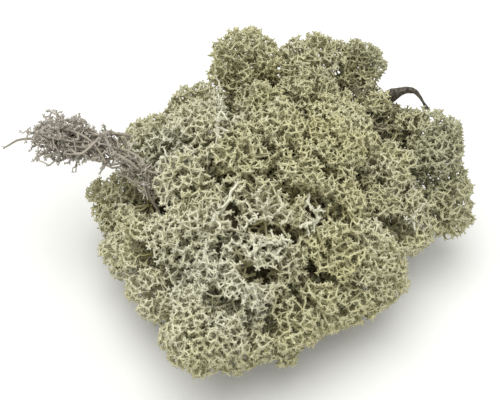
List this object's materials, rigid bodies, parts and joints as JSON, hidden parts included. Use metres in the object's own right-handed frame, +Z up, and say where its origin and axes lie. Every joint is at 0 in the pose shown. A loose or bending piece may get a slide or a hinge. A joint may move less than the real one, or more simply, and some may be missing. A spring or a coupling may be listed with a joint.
{
  "type": "reindeer moss clump",
  "caption": "Squarish clump of pale yellow-green reindeer moss: forked, star-tipped heads over packed old stems, with a grey tuft leaning out and a dark twig caught at one side.",
  "frame": {"origin": "middle of the small flat spot on the underside that the clump rests on", "axes": "+X along the clump's long side, +Y towards its back, where the grey tuft leans out on the left, and +Z up through the heads"},
  "size_m": [0.2118, 0.1753, 0.1016],
  "materials": {
    "lichen_head": "dry and matt",
    "grey_lichen": "dry and matt",
    "old_stems": "dry and matt",
    "twig_bark": "rough bark"
  },
  "bodies": {
    "root": {"head_01": "lichen_head", "head_02": "lichen_head", "head_03": "lichen_head", "head_04": "lichen_head", "head_05": "lichen_head", "head_06": "lichen_head", "head_07": "lichen_head", "head_08": "lichen_head", "head_09": "lichen_head", "head_10": "lichen_head", "head_11": "lichen_head", "head_12": "lichen_head", "head_13": "lichen_head", "head_14": "lichen_head", "head_15": "lichen_head", "head_16": "lichen_head", "head_17": "lichen_head", "head_18": "lichen_head", "head_19": "lichen_head", "head_20": "lichen_head", "head_21": "lichen_head", "head_22": "lichen_head", "head_23": "lichen_head", "head_24": "lichen_head", "head_25": "lichen_head", "head_26": "lichen_head", "head_27": "lichen_head", "head_28": "lichen_head", "head_29": "lichen_head", "head_30": "lichen_head", "head_31": "lichen_head", "head_32": "lichen_head", "head_33": "lichen_head", "head_34": "lichen_head", "head_35": "lichen_head", "head_36": "lichen_head", "head_37": "lichen_head", "head_38": "lichen_head", "head_39": "lichen_head", "head_40": "lichen_head", "head_41": "lichen_head", "head_42": "lichen_head", "head_43": "lichen_head", "head_44": "lichen_head", "head_45": "lichen_head", "head_46": "lichen_head", "head_47": "lichen_head", "head_48": "lichen_head", "head_49": "lichen_head", "head_50": "lichen_head", "grey_tuft": "grey_lichen", "old_stems": "old_stems", "dark_twig": "twig_bark"}
  },
  "joints": []
}
